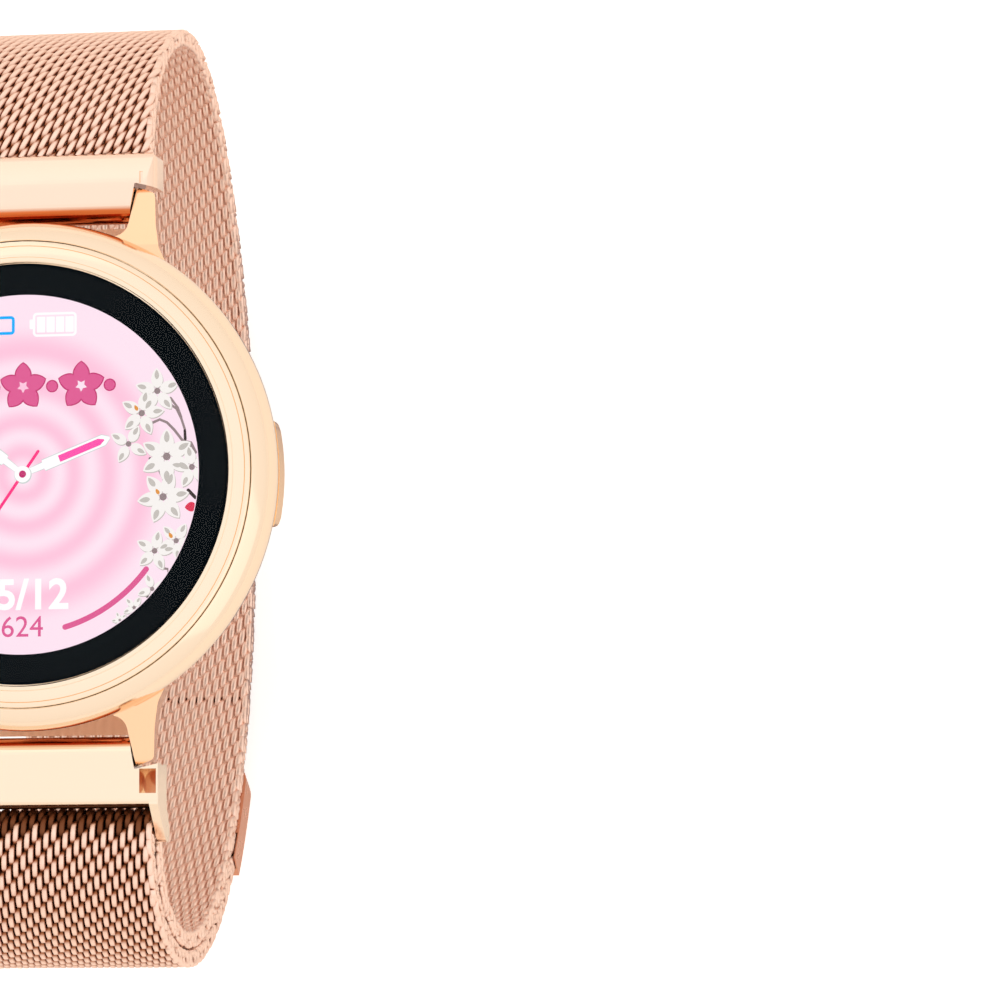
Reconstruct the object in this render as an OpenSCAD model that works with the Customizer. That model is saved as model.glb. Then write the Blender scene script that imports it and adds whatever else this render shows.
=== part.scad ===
// Round touch smartwatch on a woven steel loop band, all dimensions in millimetres.
// +Z leaves the display, +Y points to 12 o'clock and +X to 3 o'clock, where the button is.
// The origin is the centre of the flat sensor window that rests on the wrist.

/* [Case] */
// Diameter over the widest circle of the rim
case_d = 42; // [41.6:0.1:42.6]
// Height of the widest circle of the rim above the sensor window
rim_z = 7.8; // [7.6:0.1:8]
// Radius of the flank where it meets the back
flank_foot_r = 19.3; // [19.1:0.1:19.6]
// Radius of the round cavity that holds the works
cavity_r = 17; // [16.9:0.1:17.1]
// Height of the seat under the bezel ring
seat_z = 8.4; // [8.3:0.1:8.5]

/* [Bezel and glass] */
// Radius of the bezel ring, where a fine line parts it from the rim
bezel_r = 19.2; // [19.1:0.05:19.3]
// Radius of the cover glass
glass_r = 17.3; // [17.2:0.05:17.35]
// Height of the underside of the cover glass
glass_z = 9.4; // [9.3:0.05:9.5]
// Thickness of the cover glass
glass_t = 1; // [0.8:0.1:1.1]
// Radius of the lit part of the display
display_r = 14.8; // [14:0.1:15.2]

/* [Lugs and spring bars] */
// Distance of each spring bar from the middle of the case
bar_y = 22.95; // [22.9:0.05:23]
// Height of each spring bar above the sensor window
bar_z = 5.6; // [5.5:0.05:5.7]
// Distance of the lug tips from the middle of the case
lug_tip_y = 23.9; // [23.8:0.05:24]
// Half the gap between two lugs at their tips
lug_gap = 8.95; // [8.9:0.05:9]
// Half the distance over two lugs at their tips
lug_out = 10.55; // [10.5:0.05:10.7]
// Radius of the spring bar tube
bar_r = 0.75; // [0.7:0.01:0.76]

/* [Button] */
// Length of the button along the rim
button_l = 8.8; // [8:0.1:9]
// Height of the button
button_h = 2; // [1.8:0.1:2.2]
// Height of the middle of the button above the sensor window
button_z = 5.5; // [5.4:0.05:5.6]
// Distance that the button travels
button_travel = 0.4; // [0.2:0.05:0.45]

/* [Band] */
// Width of the woven band
band_w = 20; // [19:0.1:20]
// Thickness of the woven band
band_t = 1.5; // [1.3:0.05:1.5]
// Half the length of the loop on its 12 o'clock side
loop_up = 38.75; // [38:0.25:40]
// Half the length of the loop on its 6 o'clock side
loop_low = 37.85; // [37:0.25:38.5]
// Height where the loop is longest
loop_z = -8.4; // [-10:0.2:-7]
// Depth of the loop below that height
loop_depth = 25.25; // [23:0.25:27]
// Distance between the middles of two band layers that lie on each other
layer_step = 1.6; // [1.58:0.02:1.7]

/* [Links and clasp] */
// Thickness of the two links that carry the band
link_t = 3.1; // [3:0.05:3.2]
// Distance of the outer end of the 12 o'clock link from the middle of the case
link_end_y = 26.75; // [26.6:0.05:27]
// Distance of the outer end of the loop link from the middle of the case
loop_end_y = 27; // [26.9:0.05:27.1]
// Half the width of the 12 o'clock link
link_half_w = 10.6; // [10.5:0.05:10.8]
// Half the width over the arms of the loop link
loop_half_w = 10.85; // [10.8:0.05:11]
// Radius of the cross bar that the band folds over
fold_bar_r = 0.5; // [0.45:0.01:0.5]
// Thickness of the clasp tab
tab_t = 2.4; // [2.2:0.05:2.6]
// Half the width of the clasp tab
tab_half_w = 10.15; // [10:0.05:10.4]

/* [Hidden] */

gold = [0.93, 0.72, 0.55];
rose = [0.86, 0.58, 0.46];
steel = [0.75, 0.76, 0.78];
black = [0.05, 0.05, 0.06];

rim_curve_r = 1.8;                      // rounding of the rim below its widest circle
rim_mid_r = case_d / 2 - rim_curve_r;   // where that rounding is centred
dome_mid_r = 17.7;                      // middle of the dome that rim and bezel ring share
dome_h = 2.56;                          // height of that dome over the widest circle
lip_r = 17.93;                          // where the dome meets the lip round the glass
trim_r = 18.75;                         // fine line round the bezel ring
back_z = 0.6;                           // outer face of the back cover
cover_top_z = 1.8;                      // inner face of the back cover
cover_r = 18.2;                         // back cover
flange_r = 15.6;                        // opening of the case behind the works
flange_z = 3.4;                         // inner face of the flange that takes the screws
screw_at_r = 16.9;                      // circle of the back screws
screw_r = 0.6;
screw_head_r = 1.05;
window_r = 5.9;
contact_x = 2.6;
contact_y = -10;
magnet_x = 6.4;
board_z = 3.6;
board_t = 0.8;
fit = 0.1;                              // gap round parts that only sit in place
run = 0.05;                             // radial gap of a running fit

apron_half_w = 8.2;                     // half the width of the apron between two lugs
lug_lean = 9.6;                         // lean of a lug's outer side, in degrees
lug_top_z = 7.45;                       // top face of a lug
lug_room = 0.2;                         // gap between a lug's tip and the link round it
lug_slope = 0.2;                        // how much the gap between the lugs opens to the tips
stem_r = 0.75;
stem_end_x = 15;
cap_in_x = 19.3;
cap_out_r = 20.85;                      // circle that the cap's outer face follows
cap_corner = 0.5;
link_corner = 0.7;                      // corners of the 12 o'clock link, seen from above
link_round = 1.1;                       // its rounded ends, seen along the band
link_top_h = 2;                         // its top over the spring bar
link_barrel_r = 1.95;                   // its rounding about the spring bar
pocket_x = cap_in_x - button_travel - fit;
fold_y = -29.15;                        // centre of the cross bar
fold_z = 3.8;
fold_mid_r = 1.3;                       // middle of the band round the cross bar
arm_r = 0.85;                           // round end of each arm
band_start_y = 25.1;
band_exit_y = 26.9;
band_z = 5.65;
squeeze = 0.045;                        // how much flatter the 12 o'clock side of the loop is
tab_from = 124.4;                       // the tab's free end, as an angle round the loop
tab_to = 142.2;                         // the tab's fixed end
peel_at = 156;                          // where the tail bends when the tab is lifted

// Points on an arc round c, from angle a0 to a1
function arc(c, r, a0, a1, n) =
    [for (i = [0:n]) let (a = a0 + (a1 - a0) * i / n) c + r * [cos(a), sin(a)]];

// Points on an upright ellipse round c
function oval(c, rx, ry, a0, a1, n) =
    [for (i = [0:n]) let (a = a0 + (a1 - a0) * i / n) c + [rx * cos(a), ry * sin(a)]];

// The dome of rim and bezel ring, from angle a0 to a1 as an oval's, and its angle at radius r
function dome(a0, a1, n) = oval([dome_mid_r, rim_z], case_d / 2 - dome_mid_r, dome_h, a0, a1, n);
function dome_angle(r) = acos((r - dome_mid_r) / (case_d / 2 - dome_mid_r));

function reversed(p) = [for (i = [len(p) - 1:-1:0]) p[i]];

// The unit vector to the left of a path at point i
function side(p, i) =
    let (a = p[max(i - 1, 0)], b = p[min(i + 1, len(p) - 1)], u = (b - a) / norm(b - a))
    [-u[1], u[0]];

// A path moved sideways, to the left if d is positive
function beside(p, d) = [for (i = [0:len(p) - 1]) p[i] + d * side(p, i)];

function part_of(p, i0, i1) = [for (i = [i0:i1]) p[i]];

// The loop of the band seen from 3 o'clock, as [y, z] of its middle plane
function rear_point(t) =
    let (upper = t < 90, s = upper ? 1 - squeeze * pow(sin(2 * t), 2) : 1)
    [(upper ? loop_up : loop_low) * cos(t) * s, loop_z - loop_depth * sin(t) * s];

function tail_point(t) =
    [(loop_low + layer_step) * cos(t), loop_z - (loop_depth + layer_step) * sin(t)];

front_steps = 12;
rear_steps = 30;
inner_steps = 10;
fold_steps = 12;
outer_steps = 12;
tail_steps = 10;
tail_in_tab = 5;                        // degrees of the loop that the tail reaches into the tab

upper_front = concat(
    [[band_start_y, band_z]],
    oval([band_exit_y, loop_z], loop_up - band_exit_y, band_z - loop_z, 90, 0, front_steps));
rear = [for (i = [1:rear_steps]) rear_point(180 * i / rear_steps)];
inner_front = part_of(
    oval([fold_y, loop_z], loop_low + fold_y, fold_z - fold_mid_r - loop_z, 180, 90, inner_steps),
    1, inner_steps);
fold = part_of(arc([fold_y, fold_z], fold_mid_r, -90, 90, fold_steps), 1, fold_steps);
outer_front = part_of(
    oval([fold_y, loop_z], loop_low + layer_step + fold_y, fold_z + fold_mid_r - loop_z,
        90, 180, outer_steps), 1, outer_steps);
tail = [for (i = [1:tail_steps]) tail_point(180 + (peel_at - 180) * i / tail_steps)];
tail_end = [for (i = [1:tail_steps])
    tail_point(peel_at + (tab_to - tail_in_tab - peel_at) * i / tail_steps)];

band_path = concat(upper_front, rear, inner_front, fold, outer_front, tail, tail_end);
band_left = beside(band_path, band_t / 2);
band_right = beside(band_path, -band_t / 2);

i_upper = front_steps + 1;
i_rear = i_upper + rear_steps;
i_inner = i_rear + inner_steps;
i_fold = i_inner + fold_steps;
i_outer = i_fold + outer_steps;
i_tail = i_outer + tail_steps;
i_end = i_tail + tail_steps;

// Extrudes a [y, z] outline along X, centred
module along_x(w) rotate([90, 0, 90]) linear_extrude(height = w, center = true) children();

// One stretch of the band between two stations of its path
module band_piece(i0, i1) {
    color(rose) along_x(band_w)
        polygon(concat(part_of(band_left, i0, i1), reversed(part_of(band_right, i0, i1))));
}

module ring(r_in, r_out, z0, z1) {
    translate([0, 0, z0]) difference() {
        cylinder(r = r_out, h = z1 - z0, $fn = 96);
        translate([0, 0, -1]) cylinder(r = r_in, h = z1 - z0 + 2, $fn = 96);
    }
}

module x_cylinder(r, x0, x1, y, z) {
    translate([x0, y, z]) rotate([0, 90, 0]) cylinder(r = r, h = x1 - x0, $fn = 48);
}

// A flat bar with half-round ends, long in Y, from x0 to x1
module pill(l, h, x0, x1, z) {
    for (s = [-1, 1]) x_cylinder(h / 2, x0, x1, s * (l - h) / 2, z);
    translate([x0, -(l - h) / 2, z - h / 2]) cube([x1 - x0, l - h, h]);
}

module box(x, y, z) {
    translate([x[0], y[0], z[0]]) cube([x[1] - x[0], y[1] - y[0], z[1] - z[0]]);
}

module four_lugs() {
    for (mx = [0, 1], my = [0, 1]) mirror([mx, 0, 0]) mirror([0, my, 0]) children();
}

// Seen from above: the lug at 1 o'clock
module lug_plan() {
    polygon(concat(
        [[6.6, 18.9]],
        arc([6.95, 21.1], 1.35, -80, -12, 8),
        [[lug_gap, lug_tip_y], [lug_gap + 0.1, lug_tip_y]],
        arc([lug_out - 0.45, lug_tip_y - 0.9], 0.45, 72, 0, 6),
        [[lug_out + 0.08, 20.6], [lug_out + 0.35, 18.7], [lug_out + 1.1, 17.1], [10, 16]]));
}

// Seen from 3 o'clock: the same lug
module lug_side() {
    polygon(concat(
        [[14, 2.9], [14, lug_top_z], [19, lug_top_z - 0.05]],
        arc([lug_tip_y - 0.7, 6.2], 0.7, 84, 0, 8),
        arc([lug_tip_y - 1.1, 5.1], 1.1, 0, -70, 8),
        [[20.6, 3.2], [18, 2.6]]));
}

// One lug, whose outer side leans inwards below its top
module lug() {
    difference() {
        intersection() {
            linear_extrude(height = 12) lug_plan();
            translate([lug_out, 0, lug_top_z]) rotate([0, lug_lean, 0]) translate([-lug_out, 0, -9])
                linear_extrude(height = 10) lug_plan();
            translate([10, 0, 0]) along_x(20) lug_side();
        }
        x_cylinder(0.5, 8, 9.95, bar_y, bar_z);
    }
}

// A steep apron of the case between two lugs
module apron() {
    along_x(2 * apron_half_w) polygon([[17, 2], [17, 6.2], [19.4, 6.2], [21.1, 2.3], [20.8, 2]]);
}

module case_shell() {
    rotate_extrude($fn = 128) polygon(concat(
        [[flange_r, cover_top_z], [cover_r + fit, cover_top_z], [cover_r + fit, 1]],
        [[18.75, 1], [19.1, 1.3], [flank_foot_r, 2.1]],
        arc([rim_mid_r, rim_z], rim_curve_r, -25, -3, 6),
        dome(0, dome_angle(bezel_r + 0.11), 20),
        [[bezel_r + 0.05, 9.98], [bezel_r + 0.05, seat_z], [cavity_r, seat_z],
         [cavity_r, flange_z], [flange_r, flange_z]]));
}

module case_body() {
    color(gold) difference() {
        union() {
            case_shell();
            four_lugs() lug();
            for (m = [0, 1]) mirror([0, m, 0]) apron();
        }
        pill(button_l + 2 * fit, button_h + 2 * fit, pocket_x, 23, button_z);
        x_cylinder(stem_r + run, 15, 20, 0, button_z);
        for (a = [45:90:315]) rotate(a) translate([screw_at_r, 0, 0])
            cylinder(r = screw_r + 0.02, h = flange_z - 0.1, $fn = 24);
    }
}

module bezel_ring() {
    line_w = 0.035;
    color(gold) rotate_extrude($fn = 128) polygon(concat(
        [[16.6, seat_z], [bezel_r, seat_z], [bezel_r, 9.98]],
        dome(dome_angle(bezel_r - 0.06), dome_angle(trim_r + line_w), 5),
        [[trim_r, 10.15]],
        dome(dome_angle(trim_r - line_w), dome_angle(lip_r), 7),
        [[17.84, 10.36], [17.78, 10.44], [17.48, 10.44],
         [glass_r + fit, 10.36], [glass_r + fit, 9.1], [16.6, 9.1]]));
}

module cover_glass() {
    color([0.85, 0.9, 0.95, 0.3]) rotate_extrude($fn = 128) polygon([
        [0, glass_z], [glass_r, glass_z], [glass_r, glass_z + glass_t - 0.25],
        [glass_r - 0.25, glass_z + glass_t], [0, glass_z + glass_t]]);
}

module glass_gasket() color(black) ring(16.7, 17.2, 9.1, 9.32);

module glass_mask() color(black) ring(display_r, 17.25, 9.32, glass_z);

module display_panel() {
    color([0.98, 0.78, 0.9]) translate([0, 0, 8.5]) cylinder(r = 16.2, h = 0.8, $fn = 96);
}

module display_flex() {
    color([0.75, 0.45, 0.1]) along_x(8) polygon([
        [-11, 8.5], [-15.3, 8.5], [-15.3, 4.42], [-12.6, 4.42], [-12.6, 4.57],
        [-15.15, 4.57], [-15.15, 8.35], [-11, 8.35]]);
}

module inner_frame() {
    color([0.15, 0.15, 0.17]) difference() {
        union() {
            ring(15.9, 16.85, 3.5, 8.3);
            ring(12.2, 16.85, 7.65, 8.05);
        }
        x_cylinder(1.6, 14, 18, 0, button_z);
        box([-4.3, 4.3], [-15.7, -14.6], [3, 9]);
    }
}

module main_board() {
    color([0.05, 0.25, 0.15]) difference() {
        translate([0, 0, board_z]) cylinder(r = 15.4, h = board_t, $fn = 96);
        box([-4.5, 4.5], [-16, -15.05], [3, 5]);
        for (s = [-1, 1]) translate([9.5 * s, 10.5, 3]) cylinder(r = 0.8, h = 2, $fn = 32);
    }
}

// Chips on the underside of the board, clear of the sensor board
module board_chips() {
    color(black) {
        box([-4, 4], [7.8, 12.8], [2.6, board_z]);
        box([6, 9], [6.2, 9.4], [2.7, board_z]);
        box([-13, -10.6], [-4, 0], [2.9, board_z]);
        for (k = [0:4]) box([8 + 1.1 * k, 8.6 + 1.1 * k], [-5, -3.9], [3.1, board_z]);
        for (k = [0:3]) box([-9 + 1.2 * k, -8.4 + 1.2 * k], [-7, -6], [3.1, board_z]);
    }
}

module shield_can() {
    color(steel) difference() {
        box([7.6, 13.2], [-3.2, 3.4], [2.1, board_z]);
        box([7.8, 13], [-3, 3.2], [2.3, board_z + 1]);
    }
}

module battery() {
    color([0.78, 0.8, 0.83]) {
        box([-8.6, 8.6], [-11.4, 11.2], [4.75, 7.35]);
        box([-5, 5], [11.2, 12.6], [5.6, 6.4]);
    }
}

module battery_foam() color([0.2, 0.2, 0.22]) box([-7.5, 7.5], [-10, 10], [4.42, 4.73]);

module vibration_motor() {
    color(steel) translate([-12.2, 0, 4.42]) cylinder(r = 3.1, h = 2.6, $fn = 48);
}

// Antenna printed round the frame under the rim
module antenna_flex() {
    color([0.75, 0.45, 0.1]) difference() {
        ring(15.68, 15.86, 5, 7.5);
        box([-20, 20], [-20, 3], [4, 9]);
    }
}

module button_switch() {
    color(black) difference() {
        box([11.2, 13.8], [-1.9, 1.9], [4.42, 6.5]);
        box([12.5, 14], [-0.9, 0.9], [button_z - 0.5, button_z + 0.5]);
    }
}

module switch_plunger() {
    color("white") box([13.1, stem_end_x - 0.05], [-0.8, 0.8], [button_z - 0.4, button_z + 0.4]);
}

// The cap seen from above, with rounded ends; its outer face is cut by the circle of cap_out_r
module cap_plan() {
    middle = [cap_out_r - 0.4 - cap_corner, button_l / 2 - cap_corner];
    nose = [cap_out_r + 0.15, 2];
    polygon(concat(
        [[cap_in_x, -button_l / 2]],
        arc([middle[0], -middle[1]], cap_corner, -90, 0, 6),
        [[nose[0], -nose[1]], nose],
        arc(middle, cap_corner, 0, 90, 6),
        [[cap_in_x, button_l / 2]]));
}

module side_button() {
    color(gold) {
        intersection() {
            pill(button_l, button_h, cap_in_x, 23, button_z);
            translate([0, 0, 2]) cylinder(r = cap_out_r, h = 8, $fn = 128);
            linear_extrude(height = 10) cap_plan();
        }
        difference() {
            x_cylinder(stem_r, stem_end_x, cap_in_x + 0.2, 0, button_z);
            stem_groove(17.6, 18.1);
            stem_groove(16.5, 16.8);
        }
    }
}

module stem_groove(x0, x1) {
    difference() {
        x_cylinder(stem_r + 1, x0, x1, 0, button_z);
        x_cylinder(0.45, x0 - 1, x1 + 1, 0, button_z);
    }
}

module button_oring() {
    color([0.6, 0.15, 0.1]) translate([17.85, 0, button_z]) rotate([0, 90, 0])
        rotate_extrude($fn = 48) translate([0.62, 0]) circle(r = 0.16, $fn = 24);
}

module button_clip() {
    color(steel) difference() {
        x_cylinder(1.3, 16.53, 16.77, 0, button_z);
        x_cylinder(0.47, 16, 17, 0, button_z);
        box([16, 17], [-0.42, 0.42], [button_z - 2, button_z]);
    }
}

module back_cover() {
    color([0.12, 0.12, 0.13]) difference() {
        rotate_extrude($fn = 128) polygon([
            [0, back_z], [17.4, back_z], [cover_r, 1.1], [cover_r, cover_top_z], [0, cover_top_z]]);
        cylinder(r = window_r + fit, h = 3, $fn = 96);
        translate([0, 0, 1]) cylinder(r = window_r + 0.8, h = 2, $fn = 96);
        ring(15.7, 16.15, 1.35, 3);
        for (a = [45:90:315]) rotate(a) translate([screw_at_r, 0, 0]) {
            cylinder(r = screw_r + 0.1, h = 3, $fn = 24);
            cylinder(r = screw_head_r + 0.1, h = 1.2, $fn = 32);
        }
        for (s = [-1, 1]) translate([s * contact_x, contact_y, 0]) {
            cylinder(r = 0.95, h = 1.1, $fn = 32);
            cylinder(r = 0.55, h = 3, $fn = 32);
        }
    }
}

module back_gasket() color([0.1, 0.1, 0.1]) ring(15.72, 16.13, 1.37, 1.79);

module back_screws() {
    color(steel) for (a = [45:90:315]) rotate(a) translate([screw_at_r, 0, 0]) difference() {
        union() {
            translate([0, 0, 1]) cylinder(r = screw_r, h = 2.2, $fn = 32);
            translate([0, 0, 0.72]) cylinder(r = screw_head_r, h = 0.46, $fn = 32);
        }
        for (q = [0, 90]) rotate(q) translate([-0.6, -0.1, 0.6]) cube([1.2, 0.2, 0.35]);
    }
}

module sensor_window() {
    color([0.05, 0.05, 0.07]) rotate_extrude($fn = 96) polygon([
        [0, 0], [window_r - 0.4, 0], [window_r, 0.35], [window_r, 1.02],
        [window_r + 0.7, 1.02], [window_r + 0.7, 1.5], [0, 1.5]]);
}

module sensor_board() {
    color([0.05, 0.25, 0.15]) translate([0, 0, 1.95]) cylinder(r = 6.3, h = 0.5, $fn = 64);
}

module sensor_leds() {
    color([0.4, 0.9, 0.4]) {
        for (s = [-1, 1]) box([2.6 * s - 0.7, 2.6 * s + 0.7], [-0.6, 0.6], [1.55, 1.95]);
        box([-1.1, 1.1], [-1.1, 1.1], [1.55, 1.95]);
    }
}

module charge_contacts() {
    color("gold") for (s = [-1, 1]) translate([s * contact_x, contact_y, 0]) {
        translate([0, 0, 0.55]) cylinder(r = 0.9, h = 0.5, $fn = 32);
        translate([0, 0, 1]) cylinder(r = 0.5, h = 2.58, $fn = 32);
    }
}

module charge_magnets() {
    color(steel) for (s = [-1, 1]) translate([s * magnet_x, contact_y, 1.82])
        cylinder(r = 1.4, h = 1, $fn = 32);
}

// Both spring bars: a tube, two sliding tips and a coil spring in each
module each_bar() for (s = [-1, 1]) translate([0, s * bar_y, bar_z]) children();

module bar_tubes() {
    color(steel) each_bar() difference() {
        x_cylinder(bar_r, -7.9, 7.9, 0, 0);
        x_cylinder(bar_r - 0.2, -9, 9, 0, 0);
    }
}

module bar_tips() {
    color(steel) each_bar() for (m = [0, 1]) mirror([m, 0, 0]) {
        x_cylinder(bar_r - 0.23, 4.5, 8.2, 0, 0);
        x_cylinder(0.45, 8.1, 9.8, 0, 0);
    }
}

coil_turns = 8;
coil_steps = 8;                         // stations a turn
coil_sides = 5;
coil_wire_r = 0.07;
coil_r = 0.4;
coil_half_l = 4.4;

function coil_ring(k) =
    let (a = 360 * k / coil_steps, x = -coil_half_l + 2 * coil_half_l * k / (coil_turns * coil_steps))
    [for (j = [0:coil_sides - 1])
        let (b = 360 * j / coil_sides, r = coil_r + coil_wire_r * cos(b))
        [x + coil_wire_r * sin(b), r * cos(a), r * sin(a)]];

module bar_springs() {
    n = coil_turns * coil_steps;
    m = coil_sides;
    points = [for (k = [0:n]) each coil_ring(k)];
    sides = [for (k = [0:n - 1], j = [0:m - 1])
        let (a = m * k + j, b = m * k + (j + 1) % m)
        each [[a, b, b + m], [a, b + m, a + m]]];
    ends = [[for (j = [m - 1:-1:0]) j], [for (j = [0:m - 1]) m * n + j]];
    color(steel) each_bar() polyhedron(points, concat(sides, ends));
}

// Half-width of a link between the lugs, a running gap inside them
function tongue_x(y) = lug_gap - 0.12 - lug_slope * (lug_tip_y - y);

// Room for the two lugs of one side, cut right through the link
module lug_notches() {
    for (m = [0, 1]) mirror([m, 0, 0]) linear_extrude(height = 12) polygon([
        [tongue_x(20.5), 20.5], [tongue_x(lug_tip_y + lug_room), lug_tip_y + lug_room],
        [lug_gap + 0.1, lug_tip_y + lug_room], [12, lug_tip_y + lug_room - 0.7], [12, 20.5]]);
}

// A link seen from 3 o'clock: a barrel of radius barrel_r about its spring bar, then a gently
// crowned top of radius crown_r, highest at crown_y, that runs into edges of radius edge_r
module link_side(end_y, barrel_r, edge_r, crown_y, crown_r) {
    crown_z = bar_z - sqrt(pow(crown_r - barrel_r, 2) - pow(crown_y - bar_y, 2));
    edge_y = end_y - edge_r;
    edge_z = crown_z + sqrt(pow(crown_r - edge_r, 2) - pow(edge_y - crown_y, 2));
    crown_from = 90 + asin((crown_y - bar_y) / (crown_r - barrel_r));
    crown_to = 90 - asin((edge_y - crown_y) / (crown_r - edge_r));
    crown = arc([crown_y, crown_z], crown_r, crown_from, crown_to, 12);
    polygon(concat(
        arc([bar_y, bar_z], barrel_r, 270, crown_from, 24),
        part_of(crown, 1, 11),
        arc([edge_y, edge_z], edge_r, crown_to, 0, 6),
        arc([edge_y, bar_z - link_t / 2 + edge_r], edge_r, 0, -90, 6)));
}

// The 12 o'clock link seen from above
module end_link_plan() {
    middle = [link_half_w - link_corner, link_end_y - link_corner];
    polygon(concat(
        [[-link_half_w, 20], [link_half_w, 20]],
        arc(middle, link_corner, 0, 90, 6),
        arc([-middle[0], middle[1]], link_corner, 90, 180, 6)));
}

// The 12 o'clock link seen along the band, rounded at its ends
module end_link_front() {
    middle = [link_half_w - link_round, link_top_h - link_round];
    polygon(concat(
        arc(middle, link_round, 0, 90, 8),
        arc([-middle[0], middle[1]], link_round, 90, 180, 8),
        arc(-middle, link_round, 180, 270, 8),
        arc([middle[0], -middle[1]], link_round, 270, 360, 8)));
}

module end_link() {
    mark_y = lug_tip_y + lug_room;
    color(gold) difference() {
        intersection() {
            along_x(2 * link_half_w) link_side(link_end_y, link_barrel_r, 0.7, 23.6, 9);
            linear_extrude(height = 12) end_link_plan();
            translate([0, 30, bar_z]) rotate([90, 0, 0]) linear_extrude(height = 10) end_link_front();
        }
        lug_notches();
        for (m = [0, 1]) mirror([m, 0, 0]) box([9.25, 9.55], [mark_y, mark_y + 1], [7.25, 7.8]);
        x_cylinder(bar_r + 0.07, -12, 12, bar_y, bar_z);
        box([-band_w / 2 - run, band_w / 2 + run], [band_start_y - fit, 28],
            [band_z - band_t / 2 - run, band_z + band_t / 2 + run]);
    }
}

// One arm of the loop link, seen from 3 o'clock
module arm_side() {
    polygon(concat(
        [[-26.2, bar_z - link_t / 2], [-26.2, bar_z + link_t / 2], [-loop_end_y, bar_z + link_t / 2]],
        arc([fold_y, fold_z], arm_r, 128, 304, 18),
        [[-loop_end_y, bar_z - link_t / 2]]));
}

module loop_link() {
    recess_end = 26.1;
    recess_y = lug_tip_y + lug_room;
    arm_w = loop_half_w - band_w / 2 - fit;
    color(gold) difference() {
        union() {
            mirror([0, 1, 0]) along_x(2 * loop_half_w) link_side(loop_end_y, link_t / 2, 0.4, 25, 30);
            for (s = [-1, 1]) translate([s * (loop_half_w - arm_w / 2), 0, 0])
                along_x(arm_w) arm_side();
        }
        mirror([0, 1, 0]) lug_notches();
        for (m = [0, 1]) mirror([m, 0, 0]) translate([lug_gap + 0.35 + 0.7, 0, 0]) along_x(1.4)
            polygon([[-recess_y, 4.9], [-recess_end, 5.9], [-recess_end, 7.4], [-recess_y, 7.4]]);
        x_cylinder(bar_r + 0.07, -12, 12, -bar_y, bar_z);
        x_cylinder(fold_bar_r + 0.01, -12, 12, fold_y, fold_z);
    }
}

module loop_bar() color(gold) x_cylinder(fold_bar_r, -loop_half_w, loop_half_w, fold_y, fold_z);

module strap_upper() band_piece(0, i_upper);
module strap_rear() band_piece(i_upper, i_rear);
module strap_inner() band_piece(i_rear, i_inner);
module strap_fold() band_piece(i_inner, i_fold);
module strap_outer() band_piece(i_fold, i_outer);
module strap_tail() band_piece(i_outer, i_tail);
module strap_tail_end() band_piece(i_tail, i_end);

// The middle of the tab: its place and the direction it faces, seen from 3 o'clock
tab_mid = (tab_from + tab_to) / 2;
tab_point = rear_point(tab_mid);
tab_angle = atan2(-sin(tab_mid) / loop_depth, cos(tab_mid) / loop_low);
tab_in = band_t / 2 + fit;
tab_steps = 8;

// Puts children, drawn outwards along +Z from the rear band's middle, at the tab
module at_tab() {
    translate([0, tab_point[0], tab_point[1]]) rotate([tab_angle - 90, 0, 0]) children();
}

function tab_edge(d) = let (p = [for (i = [-1:tab_steps + 1])
    rear_point(tab_from + (tab_to - tab_from) * i / tab_steps)])
    part_of(beside(p, d), 1, tab_steps + 1);

module clasp_tab() {
    corner = 2;
    half_l = 5.15;
    color(gold) difference() {
        intersection() {
            along_x(2 * tab_half_w)
                polygon(concat(tab_edge(tab_in), reversed(tab_edge(tab_in + tab_t))));
            at_tab() linear_extrude(height = 8) union() {
                translate([-20, corner - half_l]) square([40, 2 * half_l + 3]);
                translate([corner - tab_half_w, -half_l])
                    square([2 * (tab_half_w - corner), half_l]);
                for (s = [-1, 1]) translate([s * (tab_half_w - corner), corner - half_l])
                    circle(r = corner, $fn = 32);
            }
        }
        tail_slot();
        at_tab() box([-8.3, 8.3], [-4, 2.2], [0, tab_in + 1.75]);
    }
}

// Where the tail of the band is held in the tab
module tail_slot() {
    from = tab_to - tail_in_tab - 0.5;
    p = [for (i = [0:4]) tail_point(from + (tab_to + 2 - from) * i / 4)];
    along_x(band_w + 2 * run)
        polygon(concat(beside(p, -band_t), reversed(beside(p, band_t / 2 + run))));
}

module clasp_magnets() {
    color(steel) at_tab() for (k = [-1:1])
        box([5.4 * k - 2.6, 5.4 * k + 2.6], [-3.8, 2], [tab_in + 0.5, tab_in + 1.7]);
}

module clasp_liner() {
    color(rose) at_tab() box([-8.2, 8.2], [-3.9, 2.1], [tab_in + 0.15, tab_in + 0.45]);
}

case_body();
bezel_ring();
cover_glass();
glass_gasket();
glass_mask();
display_panel();
display_flex();
inner_frame();
main_board();
board_chips();
shield_can();
battery();
battery_foam();
vibration_motor();
antenna_flex();
button_switch();
switch_plunger();
side_button();
button_oring();
button_clip();
back_cover();
back_gasket();
back_screws();
sensor_window();
sensor_board();
sensor_leds();
charge_contacts();
charge_magnets();
bar_tubes();
bar_tips();
bar_springs();
end_link();
loop_link();
loop_bar();
strap_upper();
strap_rear();
strap_inner();
strap_fold();
strap_outer();
strap_tail();
strap_tail_end();
clasp_tab();
clasp_magnets();
clasp_liner();
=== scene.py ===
import math

import bpy
import numpy as np
from mathutils import Matrix, Vector


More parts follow.
